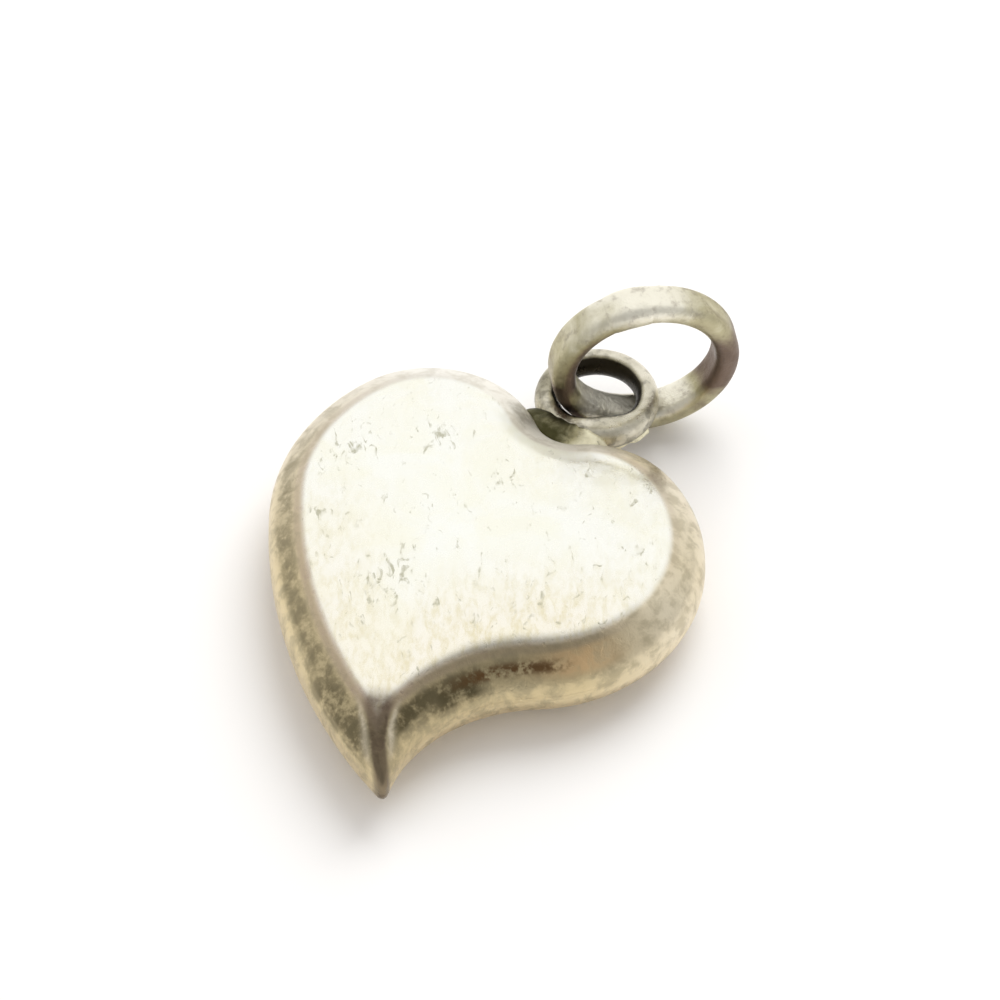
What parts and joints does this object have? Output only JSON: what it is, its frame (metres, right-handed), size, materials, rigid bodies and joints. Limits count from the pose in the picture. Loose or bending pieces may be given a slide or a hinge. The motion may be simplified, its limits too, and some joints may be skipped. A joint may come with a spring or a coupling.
{
  "type": "heart charm with jump ring",
  "caption": "Puffed hollow silver heart charm with a curved tail, a wire eye soldered in the notch and a loose jump ring to hang it by.",
  "frame": {"origin": "on the flat back face, on the line that runs along Y through the notch, about midway between lobes and tail", "axes": "+Z out of the domed front, +Y from the tail up to the notch and the eye, +X to the right seen from the front"},
  "size_m": [0.0148, 0.021, 0.0065],
  "materials": {
    "aged_silver": "worn silver, bright on the face and tarnished olive brown on the sides",
    "silver_wire": "drawn silver wire, tarnished khaki to brown",
    "silver_solder": "silver solder, dull and darkly tarnished"
  },
  "bodies": {
    "heart": {"front_shell": "aged_silver", "back_shell": "aged_silver", "rim_solder": "silver_solder", "hanging_eye": "silver_wire", "eye_solder": "silver_solder"},
    "ring": {"jump_ring": "silver_wire", "ring_solder": "silver_solder"}
  },
  "joints": [
    {"name": "ring_swing", "type": "hinge", "parent": "heart", "child": "ring", "pos_m": [0.00117, 0.01083, 0.00155], "axis": [-0.6811, 0.7304, 0.0523], "range_deg": [0, 186]}
  ]
}
